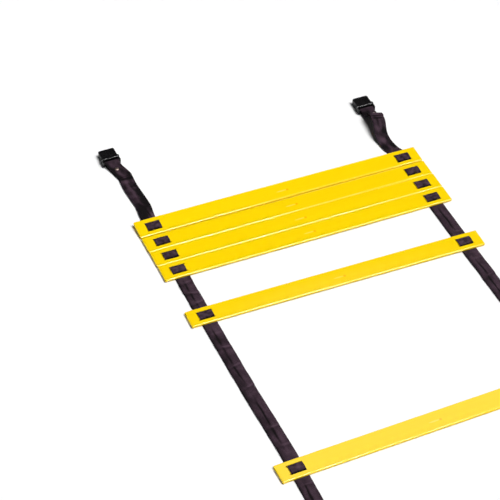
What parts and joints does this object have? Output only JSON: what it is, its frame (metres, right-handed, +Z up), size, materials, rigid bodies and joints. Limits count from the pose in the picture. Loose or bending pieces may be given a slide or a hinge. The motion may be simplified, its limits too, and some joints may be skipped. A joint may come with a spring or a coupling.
{
  "type": "agility ladder",
  "caption": "Agility ladder with flat plastic rungs that slide along webbing straps, which end in the halves of side-release buckles.",
  "frame": {"origin": "on the floor, under the middle of the whole ladder's bounding box", "axes": "+X along the rungs to the right, +Y along the straps towards the socket buckles, +Z up"},
  "size_m": [0.4204, 3.12, 0.0189],
  "materials": {
    "rung_plastic": "glossy moulded",
    "webbing": "woven",
    "buckle_plastic": "fine moulded texture",
    "rivet_metal": "polished"
  },
  "bodies": {
    "straps": {"strap_left": "webbing", "strap_right": "webbing", "strap_end_left": "webbing", "strap_end_right": "webbing", "rivet_socket_left": "rivet_metal", "rivet_socket_right": "rivet_metal", "rivet_plug_left": "rivet_metal", "rivet_plug_right": "rivet_metal"},
    "rung_1": {"rung_1": "rung_plastic"},
    "rung_2": {"rung_2": "rung_plastic"},
    "rung_3": {"rung_3": "rung_plastic"},
    "rung_4": {"rung_4": "rung_plastic"},
    "rung_5": {"rung_5": "rung_plastic"},
    "rung_6": {"rung_6": "rung_plastic"},
    "rung_7": {"rung_7": "rung_plastic"},
    "rung_8": {"rung_8": "rung_plastic"},
    "socket_left": {"socket_left": "buckle_plastic"},
    "socket_right": {"socket_right": "buckle_plastic"},
    "plug_left": {"plug_left": "buckle_plastic"},
    "plug_right": {"plug_right": "buckle_plastic"},
    "prong_left_west": {"prong_left_west": "buckle_plastic"},
    "prong_left_east": {"prong_left_east": "buckle_plastic"},
    "prong_right_west": {"prong_right_west": "buckle_plastic"},
    "prong_right_east": {"prong_right_east": "buckle_plastic"}
  },
  "joints": [
    {"name": "rung_1_slide", "type": "slide", "parent": "straps", "child": "rung_1", "axis": [0, -1, 0], "range_m": [-0.04, 0.035], "deforming": ["strap_left", "strap_right", "strap_end_left", "strap_end_right"]},
    {"name": "rung_2_slide", "type": "slide", "parent": "rung_1", "child": "rung_2", "axis": [0, -1, 0], "range_m": [-0.0016, 0.3491], "deforming": ["strap_left", "strap_right", "strap_end_left", "strap_end_right"]},
    {"name": "rung_3_slide", "type": "slide", "parent": "rung_2", "child": "rung_3", "axis": [0, -1, 0], "range_m": [-0.0001, 0.3506], "deforming": ["strap_left", "strap_right", "strap_end_left", "strap_end_right"]},
    {"name": "rung_4_slide", "type": "slide", "parent": "rung_3", "child": "rung_4", "axis": [0, -1, 0], "range_m": [-0.0003, 0.3504], "deforming": ["strap_left", "strap_right", "strap_end_left", "strap_end_right"]},
    {"name": "rung_5_slide", "type": "slide", "parent": "rung_4", "child": "rung_5", "axis": [0, -1, 0], "range_m": [-0.0625, 0.286], "deforming": ["strap_left", "strap_right", "strap_end_left", "strap_end_right"]},
    {"name": "rung_6_slide", "type": "slide", "parent": "rung_5", "child": "rung_6", "axis": [0, -1, 0], "range_m": [-0.238, 0.1044], "deforming": ["strap_left", "strap_right", "strap_end_left", "strap_end_right"]},
    {"name": "rung_7_slide", "type": "slide", "parent": "rung_6", "child": "rung_7", "axis": [0, -1, 0], "range_m": [-0.347, 0], "deforming": ["strap_left", "strap_right", "strap_end_left", "strap_end_right"]},
    {"name": "rung_8_slide", "type": "slide", "parent": "rung_7", "child": "rung_8", "axis": [0, -1, 0], "range_m": [-0.3507, 0], "deforming": ["strap_left", "strap_right", "strap_end_left", "strap_end_right"]},
    {"name": "socket_left_turn", "type": "hinge", "parent": "straps", "child": "socket_left", "pos_m": [-0.1915, 1.53568, 0.00475], "axis": [1, 0, 0], "range_deg": [0, 60]},
    {"name": "socket_right_turn", "type": "hinge", "parent": "straps", "child": "socket_right", "pos_m": [0.18504, 1.50098, 0.00475], "axis": [1, 0, 0], "range_deg": [0, 60]},
    {"name": "plug_left_turn", "type": "hinge", "parent": "straps", "child": "plug_left", "pos_m": [-0.186, -1.50432, 0.00475], "axis": [-1, 0, 0], "range_deg": [0, 60]},
    {"name": "plug_right_turn", "type": "hinge", "parent": "straps", "child": "plug_right", "pos_m": [0.186, -1.53138, 0.00475], "axis": [-1, 0, 0], "range_deg": [0, 60]},
    {"name": "prong_left_west_squeeze", "type": "hinge", "parent": "plug_left", "child": "prong_left_west", "pos_m": [-0.1933, -1.51707, 0.00475], "axis": [0, 0, 1], "range_deg": [0, 15], "stiffness_Nm_per_rad": 0.2},
    {"name": "prong_left_east_squeeze", "type": "hinge", "parent": "plug_left", "child": "prong_left_east", "pos_m": [-0.1787, -1.51707, 0.00475], "axis": [0, 0, -1], "range_deg": [0, 15], "stiffness_Nm_per_rad": 0.2},
    {"name": "prong_right_west_squeeze", "type": "hinge", "parent": "plug_right", "child": "prong_right_west", "pos_m": [0.1787, -1.54413, 0.00475], "axis": [0, 0, 1], "range_deg": [0, 15], "stiffness_Nm_per_rad": 0.2},
    {"name": "prong_right_east_squeeze", "type": "hinge", "parent": "plug_right", "child": "prong_right_east", "pos_m": [0.1933, -1.54413, 0.00475], "axis": [0, 0, -1], "range_deg": [0, 15], "stiffness_Nm_per_rad": 0.2}
  ]
}
